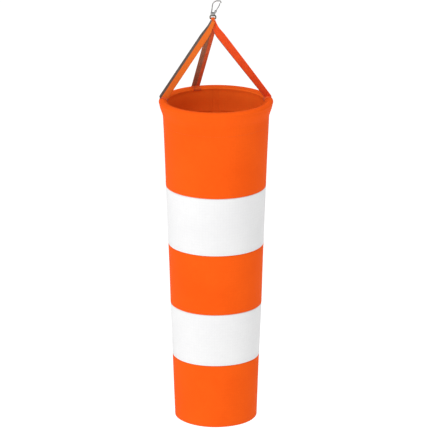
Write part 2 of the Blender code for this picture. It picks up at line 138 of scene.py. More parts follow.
END_STITCH_HALF = 0.0010  # half of a stitch's length
CROWN_ROW_PITCH = 0.0026  # between the crown loop's rows of stitches
CROWN_STITCH_PITCH = 0.0020
STRAP_AZIMUTHS = {"left": 176.0, "right": 8.0, "rear": 113.0}
CROWN_LEANS = {"left": -0.0081, "right": 0.0055, "rear": -0.0026}
FACE_TURNS = {"left": 0.0, "right": -40.0, "rear": 12.0}  # degrees that a strap twists to its foot
CROWN_LAYERS = {"left": -0.00375, "right": -0.00075, "rear": 0.00075}
SHADE_STRIPE = {"left": 0.30, "right": 0.06, "rear": 0.56}  # share of the width that is a dark stripe of painted shade, for the strap's shaded side
# each strap's tint: -1 is golden, 0 plain, 1 red, and 3 brownish; the rear's brownish is painted
# shade of its shaded underside
TINT = {"left": -1.0, "right": 1.0, "rear": 3.0}
NO_SHADE_STRIPE = -1.0
FOOT_STEPS = 5  # rows of a strap below its level cut, which follow the hem
FOOT_HALF_WIDTH = 0.0088  # of a strap, cut level where it meets the hem
FOOT_CLEAR = 0.0003  # of its outer corner, beyond the hem's cloth
FOOT_INNER_DROP = 0.0045  # of its inner corner
HEM_TOP_Z = HOOP_Z + HEM_HALF_HEIGHT + 0.0005  # the hem's crest, where the straps' feet stand

rng = np.random.default_rng(7)


# --- Node materials -------------------------------------------------------------------------------
class Graph:
    """A small wrapper that keeps a material's node code short."""

    def __init__(self, name):
        self.material = bpy.data.materials.new(name)
        self.material.use_nodes = True
        self.nodes = self.material.node_tree.nodes
        self.links = self.material.node_tree.links
        self.shader = self.nodes["Principled BSDF"]

    def add(self, kind, inputs=(), **settings):
        made = self.nodes.new(kind)
        for key, value in settings.items():
            setattr(made, key, value)
        for key, value in dict(inputs).items():
            self.put(made.inputs[key], value)
        return made

    def put(self, socket, value):
        if isinstance(value, bpy.types.NodeSocket):
            self.links.new(value, socket)
        else:
            socket.default_value = value

    def math(self, operation, a, b=0.0):
        return self.add("ShaderNodeMath", {0: a, 1: b}, operation=operation).outputs[0]

    def noise(self, vector, scale, detail=3.0, rough=0.5):
        made = self.add("ShaderNodeTexNoise", {"Vector": vector, "Scale": scale, "Detail": detail,
                                               "Roughness": rough})
        return made.outputs["Fac"]

    def ramp(self, value, low, high, to_low=0.0, to_high=1.0):
        made = self.add("ShaderNodeMapRange", {"Value": value, "From Min": low, "From Max": high,
                                               "To Min": to_low, "To Max": to_high})
        made.interpolation_type = "SMOOTHSTEP"
        return made.outputs[0]

    def mix(self, share, a, b, blend="MIX"):
        made = self.add("ShaderNodeMix", data_type="RGBA", blend_type=blend)
        self.put(made.inputs["Factor"], share)
        self.put(made.inputs[6], a)
        self.put(made.inputs[7], b)
        return made.outputs[2]

    def darken(self, colour, tone):
        grey = self.add("ShaderNodeCombineXYZ", {0: tone, 1: tone, 2: tone}).outputs[0]
        return self.mix(1.0, colour, grey, "MULTIPLY")

    def bump(self, height, distance, strength=1.0, normal=None):
        made = self.add("ShaderNodeBump", {"Height": height, "Distance": distance,
                                           "Strength": strength})
        if normal is not None:
            self.put(made.inputs["Normal"], normal)
        return made.outputs[0]

    def finish(self, **sockets):
        for key, value in sockets.items():
            self.put(self.shader.inputs[key.replace("_", " ")], value)
        return self.material


def rgb(red, green, blue):
    return (red, green, blue, 1.0)


def plain_weave(g, uv, pitch):
    """Height of a plain weave of threads, and the lattice's own coordinates, from a UV in metres."""
    split = g.add("ShaderNodeSeparateXYZ", {0: uv})
    turn = math.pi / pitch
    waves = []
    for axis in ("X", "Y"):
        along = g.math("MULTIPLY", split.outputs[axis], turn)
        waves.append(g.math("ABSOLUTE", g.math("SINE", along)))
    over = g.math("MULTIPLY", g.math("SINE", g.math("MULTIPLY", split.outputs["X"], turn)),
                  g.math("SINE", g.math("MULTIPLY", split.outputs["Y"], turn)))
    side = g.ramp(over, -0.35, 0.35)
    warp = g.math("MULTIPLY", waves[0], side)
    weft = g.math("MULTIPLY", waves[1], g.math("SUBTRACT", 1.0, side))
    return g.math("ADD", warp, weft), split


def fabric(name, light, dark, roughness):
    """Woven nylon with a ripstop grid, slightly uneven in dye."""
    g = Graph(name)
    uv = g.add("ShaderNodeUVMap", uv_map="cloth").outputs[0]
    weave, split = plain_weave(g, uv, WEAVE_PITCH)
    grid = []
    for axis in ("X", "Y"):
        cell = g.math("FRACT", g.math("DIVIDE", split.outputs[axis], RIPSTOP_PITCH))
        grid.append(g.ramp(g.math("ABSOLUTE", g.math("SUBTRACT", cell, 0.5)), 0.44, 0.48))
    ripstop = g.math("MAXIMUM", *grid)
    place = g.add("ShaderNodeTexCoord").outputs["Object"]
    broad = g.noise(place, 9.0, 3.0, 0.55)
    fine = g.noise(place, 160.0, 4.0, 0.6)
    fibre = g.noise(uv, 2600.0, 2.0, 0.6)
    shade = g.math("ADD", g.math("MULTIPLY", broad, 0.7), g.math("MULTIPLY", fine, 0.3))
    colour = g.mix(g.ramp(shade, 0.30, 0.70), dark, light)
    threads = g.math("ADD", g.math("MULTIPLY", weave, 0.06), g.math("MULTIPLY", fibre, 0.05))
    threads = g.math("ADD", threads, 0.925)
    threads = g.math("SUBTRACT", threads, g.math("MULTIPLY", ripstop, 0.030))
    colour = g.darken(colour, threads)
    height = g.math("ADD", weave, g.math("MULTIPLY", ripstop, 0.7))
    normal = g.bump(height, 0.00007, 0.35)
    normal = g.bump(g.noise(place, 60.0, 3.0, 0.5), 0.0006, 0.30, normal)
    rough = g.ramp(fine, 0.3, 0.7, roughness - 0.05, roughness + 0.06)
    material = g.finish(Base_Color=colour, Roughness=rough, Normal=normal)
    g.shader.inputs["Specular IOR Level"].default_value = 0.04
    return material


def webbing(name, light, dark, shade_stripe):
    """Herringbone webbing. Its u runs 0 to 1 across and its v is in metres. The second UV map holds
    how far a place lies inside a dark stripe of painted shade, which paints the strap's shaded side,
    and the strap's tint."""
    g = Graph(name)
    uv = g.add("ShaderNodeUVMap", uv_map="cloth").outputs[0]
    split = g.add("ShaderNodeSeparateXYZ", {0: uv})
    across, along = split.outputs["X"], split.outputs["Y"]
    cell = g.math("FRACT", g.math("MULTIPLY", across, WEB_ZIGZAGS))
    zigzag = g.math("ABSOLUTE", g.math("SUBTRACT", cell, 0.5))
    slope = g.math("ADD", g.math("MULTIPLY", along, 1 / WEB_RIB_PITCH),
                   g.math("MULTIPLY", zigzag, 4.0))
    rib = g.math("ABSOLUTE", g.math("SINE", g.math("MULTIPLY", slope, math.pi)))
    yarn = g.math("MULTIPLY", across, math.pi * WEB_YARNS)
    yarn = g.math("ABSOLUTE", g.math("SINE", yarn))
    height = g.math("ADD", g.math("MULTIPLY", rib, 0.6), g.math("MULTIPLY", yarn, 0.4))
    place = g.add("ShaderNodeTexCoord").outputs["Object"]
    uneven = g.noise(place, 90.0, 4.0, 0.6)
    colour = g.mix(g.ramp(uneven, 0.30, 0.72), dark, light)
    shade_stripe_uv = g.add("ShaderNodeUVMap", uv_map="shade_stripe").outputs[0]
    marks = g.add("ShaderNodeSeparateXYZ", {0: shade_stripe_uv})
    share, tint = marks.outputs["X"], marks.outputs["Y"]
    golden = g.mix(uneven, rgb(0.74, 0.130, 0.006), rgb(0.90, 0.180, 0.010))
    red = g.mix(uneven, rgb(0.70, 0.042, 0.002), rgb(0.98, 0.100, 0.006))
    # painted shade: the brownish tint paints the rear strap's shaded underside
    brownish_shade = g.mix(uneven, rgb(0.62, 0.085, 0.018), rgb(0.88, 0.150, 0.040))
    colour = g.mix(g.ramp(tint, 0.0, -1.0), colour, golden)
    colour = g.mix(g.ramp(tint, 0.0, 1.0), colour, red)
    colour = g.mix(g.ramp(tint, 2.0, 3.0), colour, brownish_shade)
    # painted shade: the dark stripe along each strap's shaded side, with a ragged edge
    ragged = g.math("ADD", share, g.math("MULTIPLY", g.math("SUBTRACT", uneven, 0.5), 0.10))
    # painted shade: on the rear strap the dark stripe turns warm brown for its shaded underside
    warm_shade = g.mix(g.ramp(tint, 2.0, 3.0), shade_stripe, rgb(0.36, 0.130, 0.055))
    grey = g.mix(g.ramp(uneven, 0.3, 0.7), warm_shade, g.mix(0.12, warm_shade, rgb(0.6, 0.5, 0.45)))
    colour = g.mix(g.ramp(ragged, -0.03, 0.03), colour, grey)
    tone = g.math("ADD", g.math("MULTIPLY", height, 0.30), 0.78)
    colour = g.darken(colour, tone)
    normal = g.bump(height, 0.00022, 0.7)
    rough = g.ramp(uneven, 0.3, 0.7, 0.62, 0.80)
    material = g.finish(Base_Color=colour, Roughness=rough, Normal=normal)
    g.shader.inputs["Specular IOR Level"].default_value = 0.25
    g.shader.inputs["Sheen Weight"].default_value = 0.08
    return material


def thread(name, light, dark):
    """Twisted sewing thread."""
    g = Graph(name)
    place = g.add("ShaderNodeTexCoord").outputs["Object"]
    ply = g.add("ShaderNodeTexWave", {"Vector": place, "Scale": 900.0, "Distortion": 2.0})
    ply.bands_direction = "DIAGONAL"
    uneven = g.noise(place, 300.0)
    colour = g.mix(g.math("MULTIPLY", ply.outputs["Fac"], uneven), dark, light)
    normal = g.bump(ply.outputs["Fac"], 0.00005, 0.5)
    rough = g.ramp(uneven, 0.3, 0.7, 0.45, 0.65)
    return g.finish(Base_Color=colour, Roughness=rough, Normal=normal)


def metal(name, light, dark, roughness, stain, stain_share):
    """Plated wire: fine draw marks, dull patches and a stain in places."""
    g = Graph(name)
    place = g.add("ShaderNodeTexCoord").outputs["Object"]
    stretched = g.add("ShaderNodeMapping", {"Vector": place, "Scale": (1.0, 1.0, 0.12)}).outputs[0]
    drawn = g.noise(stretched, 3000.0, 3.0, 0.6)
    patches = g.noise(place, 240.0, 4.0, 0.6)
    colour = g.mix(g.ramp(patches, 0.35, 0.65), dark, light)
    colour = g.mix(g.ramp(patches, 1.0 - stain_share - 0.1, 1.0 - stain_share + 0.1), colour, stain)
    rough = g.math("ADD", g.ramp(patches, 0.3, 0.7, roughness - 0.06, roughness + 0.10),
                   g.math("MULTIPLY", drawn, 0.10))
    normal = g.bump(drawn, 0.00004, 0.35)
    material = g.finish(Base_Color=colour, Roughness=rough, Normal=normal)
    g.shader.inputs["Metallic"].default_value = 1.0
    return material


def plastic(name, light, dark, roughness):
    """Drawn plastic tube, faintly cloudy and scuffed."""
    g = Graph(name)
    place = g.add("ShaderNodeTexCoord").outputs["Object"]
    cloud = g.noise(place, 50.0, 4.0, 0.6)
    scuff = g.noise(place, 700.0, 3.0, 0.6)
    colour = g.mix(g.ramp(cloud, 0.3, 0.7), dark, light)
    rough = g.ramp(scuff, 0.3, 0.7, roughness - 0.08, roughness + 0.12)
    return g.finish(Base_Color=colour, Roughness=rough, Normal=g.bump(scuff, 0.00006, 0.4))


ORANGE = fabric("orange_fabric", rgb(0.95, 0.116, 0.0070), rgb(0.90, 0.098, 0.0050), 0.70)
# painted light: a brighter, yellower copy of the orange cloth for the tube's inner face and the
# turned-in flap, standing in for light shining through the cloth
ORANGE_INSIDE_LIT = fabric("orange_fabric_inside_lit", rgb(0.97, 0.165, 0.018), rgb(0.94, 0.145, 0.014),
                       0.75)
# painted shade: a darker copy of the orange cloth for the hem's round just inside its crest
ORANGE_RIM_SHADED = fabric("orange_fabric_rim_shaded", rgb(0.80, 0.100, 0.008), rgb(0.76, 0.086, 0.006), 0.75)
WHITE = fabric("white_fabric", rgb(0.86, 0.86, 0.86), rgb(0.81, 0.81, 0.815), 0.70)
WEBBING = webbing("webbing", rgb(0.92, 0.150, 0.012), rgb(0.72, 0.075, 0.006),
                  rgb(0.085, 0.062, 0.050))
ORANGE_THREAD = thread("orange_thread", rgb(0.90, 0.12, 0.012), rgb(0.60, 0.06, 0.006))
WHITE_THREAD = thread("white_thread", rgb(0.86, 0.86, 0.86), rgb(0.62, 0.62, 0.62))
# real stitches whose dark red is partly painted shade: they stand where the crown and the strap ends
# show dark red shade
SHADE_RED_THREAD = thread("red_thread_shade", rgb(0.42, 0.018, 0.006), rgb(0.22, 0.008, 0.004))
STEEL = metal("steel", rgb(0.46, 0.45, 0.44), rgb(0.27, 0.265, 0.26), 0.34, rgb(0.18, 0.15, 0.12),
              0.30)
SWIVEL_METAL = metal("swivel_metal", rgb(0.20, 0.17, 0.10), rgb(0.10, 0.085, 0.05), 0.42,
                     rgb(0.09, 0.07, 0.045), 0.40)
HOOP_PLASTIC = plastic("hoop_plastic", rgb(0.74, 0.74, 0.70), rgb(0.62, 0.62, 0.58), 0.42)
PLUG_PLASTIC = plastic("plug_plastic", rgb(0.050, 0.050, 0.055), rgb(0.028, 0.028, 0.030), 0.45)


# --- Mesh builders --------------------------------------------------------------------------------
def make_object(name, verts, faces, material, uvs=None, shade_stripe=None):
    """An object from points and faces. uvs and the second map, which marks the webbing's stripe of
    painted shade, hold a (u, v) for each face's corners.
    """
    data = bpy.data.meshes.new(name)
    data.from_pydata([tuple(map(float, v)) for v in verts], [], faces)
    data.update()
    for title, values in (("cloth", uvs), ("shade_stripe", shade_stripe)):
        if values is not None:
            layer = data.uv_layers.new(name=title)
            layer.data.foreach_set("uv", np.asarray(values, np.float32).ravel())
    data.materials.append(material)
    data.shade_smooth()
    made = bpy.data.objects.new(name, data)
    bpy.context.scene.collection.objects.link(made)
    return made


def outline_faces(columns, rows, closed):
    """Quads over a grid of columns x rows points, whose rows close on themselves. closed says
    whether the columns close too, and each quad comes with the grid places of its corners."""
    faces, corners = [], []
    last = columns if closed else columns - 1
    for i in range(last):
        for j in range(rows):
            cell = ((i, j), (i + 1, j), (i + 1, j + 1), (i, j + 1))
            faces.append([(a % columns) * rows + b % rows for a, b in cell])
            corners += cell
    return faces, corners


def ease(t):
    """0 to 1 with a smooth start and end."""
    return t * t * (3 - 2 * t)


def sharpen(obj, degrees):
    obj.data.set_sharp_from_angle(angle=math.radians(degrees))


# --- Shape of the cloth ---------------------------------------------------------------------------
def round_angles():
    """Angles round the tube: even, with finer steps where the lengthwise seam stands up."""
    even = np.linspace(0, 2 * math.pi, 176, endpoint=False)
    reach = 1.6 * SEAM_HALF / MEAN_RADIUS
    even = even[np.abs(even - BACK_SEAM) > reach + 0.012]
    fine = BACK_SEAM + np.linspace(-reach, reach, 21)
    return np.sort(np.concatenate([even, fine]))


ANGLES = round_angles()
# waves round the tube, waves down it, two random phases, and the height of each swell
SWELLS = list(zip((2, 3, 5, 7, 4, 9), (9.0, 14.0, 6.0, 17.0, 31.0, 24.0),
                  rng.uniform(0, 6.28, 6), rng.uniform(0, 6.28, 6),
                  (0.00045, 0.00035, 0.00022, 0.00014, 0.00014, 0.00009), strict=True))


def swell(angle, drop):
    """How far the cloth stands out of its even taper: slow waves, calm near the hoop."""
    out = 0.0
    for n, f, p, q, size in SWELLS:
        out = out + size * np.sin(n * angle + p) * np.sin(f * drop + q)
    return out * ease(np.clip((drop - CALM_DROP) / CALM_REACH, 0, 1))


def pucker(angle, drop):
    """Small gathers that a row of stitches pulls into the cloth beside a seam."""
    out = 0.0
    for k, seam in enumerate(DROPS[1:]):
        near = np.exp(-(((drop - seam + PUCKER_RISE) / PUCKER_REACH) ** 2))
        folds = np.sin(61 * angle + 2.1 * k) + 0.7 * np.sin(97 * angle + k)
        out = out + near * PUCKER_SIZE * folds
    return out


def back_ridge(angle):
    """The lengthwise seam: two folded edges that make the cloth stand up."""
    across = np.abs((angle - BACK_SEAM) * MEAN_RADIUS)
    return SEAM_THICK * ease(1 - np.clip((across - SEAM_HALF) / SEAM_EDGE, 0, 1))


def wall_radius(drop):
    """The radius of the middle of the cloth, below the neck."""
    taper = (NECK_RADIUS - TAIL_RADIUS) / (DROPS[-1] - NECK_DROP)
    return NECK_RADIUS - taper * (drop - NECK_DROP) - CLOTH_INSET


def hem_point(degrees, out=0.0):
    """A (radius, drop) point round the hem's section: 0 is outwards, 90 is up."""
    a = math.radians(degrees)
    return (HOOP_RADIUS + (HEM_HALF_WIDTH + out) * math.cos(a),
            -(HEM_HALF_HEIGHT + out) * math.sin(a))


def neck_line(drop):
    """The radius of the cloth between the neck and the hem."""
    (top_r, top_drop), low_r = hem_point(HEM_START_DEG), wall_radius(NECK_DROP)
    return low_r + (top_r - low_r) * ease((NECK_DROP - drop) / (NECK_DROP - top_drop))


def mouth_line():
    """The mouth band's cloth as (radius, drop): up the wall, over the hoop, down inside."""
    line = [(wall_radius(d), d) for d in np.linspace(DROPS[1], NECK_DROP, 40)]
    _, hem_drop = hem_point(HEM_START_DEG)
    line += [(neck_line(d), d) for d in np.linspace(NECK_DROP, hem_drop, 15)[1:]]
    round_hem = np.arange(HEM_START_DEG + HEM_STEP_DEG, HEM_END_DEG + 1, HEM_STEP_DEG)
    line += [hem_point(a) for a in round_hem]
    end_r, end_drop = line[-1]
    inner = wall_radius(FLAP_DROP) - LAP_INSET
    for t in np.linspace(0, 1, 8)[1:]:
        line.append((end_r + (inner - end_r) * ease(t), end_drop + (FLAP_DROP - end_drop) * t))
    return np.array(line)


def band_line(k):
    """A lower band's cloth: its tucked top, the small step out at the seam, then the wall."""
    top, low = DROPS[k], DROPS[k + 1]
    line = [(wall_radius(d) - LAP_INSET, d) for d in np.linspace(top - LAP, top, 6)]
    for t in np.linspace(0, 1, 7)[1:]:
        drop = top + LAP_STEP * t
        line.append((wall_radius(drop) - LAP_INSET * (1 - ease(t)), drop))
    line += [(wall_radius(d), d) for d in np.linspace(top + LAP_STEP, low, 40)[1:]]
    return np.array(line)[::-1]


def line_lengths(line):
    return np.concatenate([[0], np.cumsum(np.hypot(*np.diff(line, axis=0).T))])


def cloth_point(angle, radius, drop):
    """A point of the cloth, with its swells, from the smooth shape's own angle, radius and drop."""
    r = radius + swell(angle, drop) + pucker(angle, drop)
    return np.stack([AXIS_X + r * np.cos(angle), r * np.sin(angle),
                     HOOP_Z - drop + 0 * r], axis=-1)


def band(k):
    """One band of the tube, a closed sheet of even thickness."""
    line = mouth_line() if k == 0 else band_line(k)
    before = np.vstack([line[:1] * 2 - line[1:2], line[:-1]])
    after = np.vstack([line[1:], line[-1:] * 2 - line[-2:-1]])
    along = after - before
    along /= np.linalg.norm(along, axis=1)[:, None]
    # across points away from the axis on the wall, and stays on the same side round the hem
    across = np.stack([-along[:, 1], along[:, 0]], axis=1) * (FABRIC / 2)
    if across[3, 0] < 0:
        across = -across
    run = line_lengths(line)
    outer, inner = line + across, line - across
    section = np.vstack([outer, inner[::-1]])
    lengths = np.concatenate([run, run[::-1]])
    count = len(line)
    # the lengthwise seam stands up on the outer face only, and fades out at the hoop
    wall = np.concatenate([np.ones(count), np.zeros(count)])
    fade = np.interp(section[:, 1], SEAM_FADE, (0, 1))
    verts = []
    for angle in ANGLES:
        ridge = back_ridge(angle) * wall * fade
        verts.append(cloth_point(np.full(len(section), angle), section[:, 0] + ridge,
                                 section[:, 1]))
    verts = np.concatenate(verts)
    rows = len(section)
    faces, corners = outline_faces(len(ANGLES), rows, True)
    turns = np.append(ANGLES, ANGLES[0] + 2 * math.pi)
    uvs = []
    for a, b in corners:
        uvs.append((turns[a] * UV_RADIUS, lengths[b % rows] + UV_STEP * k))
    look = ORANGE if k % 2 == 0 else WHITE
    name = "fabric_" + BANDS[k].split("panel_")[1]
    made = make_object(name, verts, faces, look, uvs)
    # painted light and shade by rows: the inner face and the turned-in flap take the lit copy of the
    # orange, and the hem's round just inside its crest takes the shaded copy
    if look is ORANGE:
        made.data.materials.append(ORANGE_INSIDE_LIT)
        made.data.materials.append(ORANGE_RIM_SHADED)
        turned_in = count - FLAP_ROWS if k == 0 else count
        slots = []
        for _, b in corners[::4]:
            on_shaded_rim = k == 0 and turned_in <= b % rows < count - INSIDE_ROWS
            slots.append(2 if on_shaded_rim else int(b % rows >= turned_in))
        made.data.polygons.foreach_set("material_index", slots)
    sharpen(made, 60)
    first = made.data.polygons[0]
    if first.normal.dot(first.center - Vector((AXIS_X, 0, 0))) < 0:
        made.data.flip_normals()
    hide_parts(BANDS[k])
    width = 2 * math.pi * float(np.mean(outer[:, 0])) + 2 * SEAM_HALF
    return made, (width, float(run[-1]))


# --- Thread ---------------------------------------------------------------------------------------
def stitch_mesh(starts, ends, normals, radius, arch):
    """Short arched threads, each from one needle hole to the next, as one mesh."""
    sides, steps = 6, 5
    verts, faces = [], []
    for start, end, normal in zip(starts, ends, normals, strict=True):
        along = end - start
        side = np.cross(along, normal)
        side /= np.linalg.norm(side)
        base = len(verts)
        for i in range(steps):
            t = i / (steps - 1)
            lift = arch * math.sin(math.pi * t) - radius * 0.9
            thin = radius * (0.55 + 0.45 * math.sin(math.pi * t))
            middle = start + along * t + normal * lift
            for j in range(sides):
                turn = 2 * math.pi * j / sides
                verts.append(middle + (side * math.cos(turn) + normal * math.sin(turn)) * thin)
        for i in range(steps - 1):
            for j in range(sides):
                n = (j + 1) % sides
                row, above = base + i * sides, base + (i + 1) * sides
                faces.append((row + j, row + n, above + n, above + j))
        faces.append([base + j for j in reversed(range(sides))])
        faces.append([base + (steps - 1) * sides + j for j in range(sides)])
    return np.array(verts), faces


def outward(angle):
    return np.array([math.cos(angle), math.sin(angle), 0.0])


def ring_row(drop, skew=0.0):
    """A row of stitches round the tube: the starts, ends and outward directions."""
    radius = wall_radius(drop) + FABRIC / 2
    count = int(round(2 * math.pi * radius / STITCH_PITCH))
    step = 2 * math.pi / count
    starts, ends, normals = [], [], []
    for i in range(count):
        a = i * step + skew
        b = a + STITCH_SHARE * step
        for angle, found in ((a, starts), (b, ends)):
            found.append(cloth_point(np.array(angle), radius + back_ridge(angle), drop))
        normals.append(outward((a + b) / 2))
    return starts, ends, normals


def wall_row(angle, top, low):
    """A row of stitches down the tube at one angle."""
    count = int(round((low - top) / STITCH_PITCH))
    step = (low - top) / count
    starts, ends, normals = [], [], []
    for i in range(count):
        a = top + (i + 0.14) * step
        b = a + STITCH_SHARE * step
        for drop, found in ((a, starts), (b, ends)):
            radius = wall_radius(drop) + FABRIC / 2 + back_ridge(angle)
            found.append(cloth_point(np.array(angle), radius, drop))
        normals.append(outward(angle))
    return starts, ends, normals


def band_thread(k):
    """All of one band's rows: two above its lower edge, two down the lengthwise seam, and the
    mouth band's row that holds its flap."""
    low = DROPS[k + 1]
    rows = [ring_row(low - back, 0.3 * k) for back in BAND_ROWS]
    top = NECK_DROP if k == 0 else DROPS[k] + SEAM_ROW_TOP
    for side in (-SEAM_ROW, SEAM_ROW):
        rows.append(wall_row(BACK_SEAM + side / MEAN_RADIUS, top, low - SEAM_ROW_LOW))
    if k == 0:
        rows.append(ring_row(FLAP_DROP - FLAP_SEAM))
    starts, ends, normals = (sum((row[i] for row in rows), []) for i in range(3))
    verts, faces = stitch_mesh(starts, ends, normals, THREAD_RADIUS, THREAD_ARCH)
    look = ORANGE_THREAD if k % 2 == 0 else WHITE_THREAD
    return make_object("thread_" + BANDS[k].split("panel_")[1], verts, faces, look)


# --- Straps ---------------------------------------------------------------------------------------
def ribbon(name, centres, widths, faces_to, thickness, shade_stripe=NO_SHADE_STRIPE, tint=0.0):
    """Flat webbing lofted along centres. faces_to is the direction of its face at each of them."""
    centres = np.array(centres, float)
    count = len(centres)
    along = np.gradient(centres, axis=0)
    along /= np.linalg.norm(along, axis=1)[:, None]
    run = np.concatenate([[0], np.cumsum(np.linalg.norm(np.diff(centres, axis=0), axis=1))])
    section = []
    half_t = thickness / 2
    for k in range(9):
        section.append(("flat", 0.5 - k / 8, 1))
    for k in range(1, 4):
        section.append(("edge", -1, k))
    for k in range(9):
        section.append(("flat", -0.5 + k / 8, -1))
    for k in range(1, 4):
        section.append(("edge", 1, k))
    rows = len(section)
    verts = np.zeros((count, rows, 3))
    places = np.zeros((count, rows))
    for i in range(count):
        face = np.array(faces_to[i], float)
        face -= along[i] * face.dot(along[i])
        face /= np.linalg.norm(face)
        across = np.cross(along[i], face)
        half_w = widths[i] / 2 - half_t
        for j, (kind, a, b) in enumerate(section):
            if kind == "flat":
                bow = WEB_BOW * math.cos(math.pi * a)
                point = across * (2 * a * half_w) + face * (b * (half_t + bow))
                places[i, j] = 0.5 + a * (half_w / (half_w + half_t))
            else:
                turn = math.pi / 2 - math.pi * b / 4
                if a > 0:
                    turn = -turn
                point = across * (a * (half_w + half_t * math.cos(turn)))
                point = point + face * (half_t * math.sin(turn))
                places[i, j] = 0.5 + a * 0.5
            verts[i, j] = centres[i] + point
    faces, corners = outline_faces(count, rows, False)
    # the second map marks the stripe of painted shade and the strap's tint
    uvs, shade_stripes = [], []
    for a, b in corners:
        u = 1 - places[a, b % rows]
        uvs.append((u, run[a]))
        shade_stripes.append((shade_stripe - u, tint))
    for end, flip in ((0, True), (count - 1, False)):
        loop = [end * rows + j for j in range(rows)]
        faces.append(loop[::-1] if flip else loop)
        order = range(rows - 1, -1, -1) if flip else range(rows)
        for j in order:
            uvs.append((1 - places[end, j], run[end]))
            shade_stripes.append((shade_stripe - 1 + places[end, j], tint))
    made = make_object(name, verts.reshape(-1, 3), faces, WEBBING, uvs, shade_stripes)
    mesh = bmesh.new()
    mesh.from_mesh(made.data)
    if mesh.calc_volume(signed=True) < 0:
        bmesh.ops.reverse_faces(mesh, faces=mesh.faces)
        mesh.to_mesh(made.data)
    mesh.free()
    sharpen(made, 50)
    return made, float(run[-1])


def shape_foot(web, count):
    """Shapes a strap's last rows to stand on the hem, following its rounded top."""
    verts = web.data.vertices
    rows = len(verts) // count
    for j in range(rows):
        level = (count - 1 - FOOT_STEPS) * rows + j
        start = verts[level].co.copy()
        x, y = start.x - AXIS_X, start.y
        radius = math.hypot(x, y)
        share = max(-1.0, min(1.0, (radius - HOOP_RADIUS) / FOOT_HALF_WIDTH))
        reach = HEM_HALF_WIDTH + FABRIC / 2 + FOOT_CLEAR
        scale = (HOOP_RADIUS + reach * share) / radius
        rise = (HEM_HALF_HEIGHT + FABRIC / 2) * math.sqrt(max(0.0, 1 - share * share))
        end = Vector((AXIS_X + x * scale, y * scale, HOOP_Z + rise))
        if share < 0:  # the inner corner stays short, inside the mouth's opening
            end.z = max(end.z, start.z - FOOT_INNER_DROP)
        for k in range(1, FOOT_STEPS + 1):
            verts[level + k * rows].co = start.lerp(end, k / FOOT_STEPS)
    web.data.update()


def strap_end(side):
    """A strap's sewn end: over the hem's crest and down inside it, with its rows of stitches."""
    azimuth = math.radians(STRAP_AZIMUTHS[side])
    out_x, out_y, _ = outward(azimuth)

    def hem_face(degrees):
        a = math.radians(degrees)
        return outward(azimuth) * math.cos(a) + np.array([0, 0, math.sin(a)])

    centres, faces_to = [], []
    for degrees in np.linspace(*END_SPAN_DEG, 30):
        radius, drop = hem_point(degrees, FABRIC / 2 + END_LIFT)
        centres.append(np.array([AXIS_X, 0, HOOP_Z - drop]) + outward(azimuth) * radius)
        faces_to.append(hem_face(degrees))
    end, length = ribbon(f"web_end_{side}", centres, [WEB_WIDTH] * len(centres), faces_to,
                         END_THICK)
    for vertex in end.data.vertices:  # the webbing follows the hoop's round
        x, y = vertex.co.x - AXIS_X, vertex.co.y
        radius = x * out_x + y * out_y
        turn = azimuth + (y * out_x - x * out_y) / radius
        vertex.co.x = AXIS_X + radius * math.cos(turn)
        vertex.co.y = radius * math.sin(turn)
    end.data.update()
    starts, ends, normals = [], [], []
    for degrees in END_ROWS_DEG:
        radius, drop = hem_point(degrees, FABRIC / 2 + END_STITCH_LIFT)
        for step in range(-2, 3):
            for half, found in ((-END_STITCH_HALF, starts), (END_STITCH_HALF, ends)):
                angle = azimuth + (step * END_STITCH_PITCH + half) / MEAN_RADIUS
                found.append(np.array([AXIS_X + radius * math.cos(angle),
                                       radius * math.sin(angle), HOOP_Z - drop]))
            normals.append(hem_face(degrees))
    verts, faces = stitch_mesh(starts, ends, normals, STRONG_THREAD_RADIUS, STRONG_THREAD_ARCH)
    rows = make_object(f"thread_end_{side}", verts, faces, SHADE_RED_THREAD)
    return end, rows, length


def strap(side):
    """One strap of the bridle, from the crown down to the hem's crest."""
    azimuth = math.radians(STRAP_AZIMUTHS[side])
    top = np.array([SWIVEL_X, CROWN_LAYERS[side], CROWN_Z - 0.0002])
    knee = top + np.array([CROWN_LEANS[side], 0, -CROWN_DROP])
    foot = np.array([AXIS_X + HOOP_RADIUS * math.cos(azimuth), HOOP_RADIUS * math.sin(azimuth),
                     HEM_TOP_Z - 0.0004])
    heights = np.linspace(top[2], foot[2], 60)
    bends = np.array([foot, knee, top])
    path = np.stack([np.interp(heights, bends[:, 2], bends[:, i]) for i in range(3)], axis=1)
    for _ in range(6):
        path[1:-1] = (path[:-2] + 2 * path[1:-1] + path[2:]) / 4
    skirt = [path[-1] - np.array([0, 0, 0.0004 * k]) for k in range(1, FOOT_STEPS + 1)]
    path = np.vstack([path, skirt])
    wide = ease(np.clip((top[2] - path[:, 2]) / WEB_WIDENS, 0, 1))
    widths = WEB_TOP_WIDTH + (WEB_WIDTH - WEB_TOP_WIDTH) * wide
    below_knee = np.clip((knee[2] - path[:, 2]) / (knee[2] - foot[2]), 0, 1)
    turns = np.radians(FACE_TURNS[side]) * below_knee
    faces_to = np.stack([np.sin(turns), -np.cos(turns), 0 * turns], axis=1)
    made, length = ribbon(f"web_{side}", path, widths, faces_to, WEB_THICK - 0.0002,
                          SHADE_STRIPE[side], TINT[side])
    shape_foot(made, len(path))
    return made, length


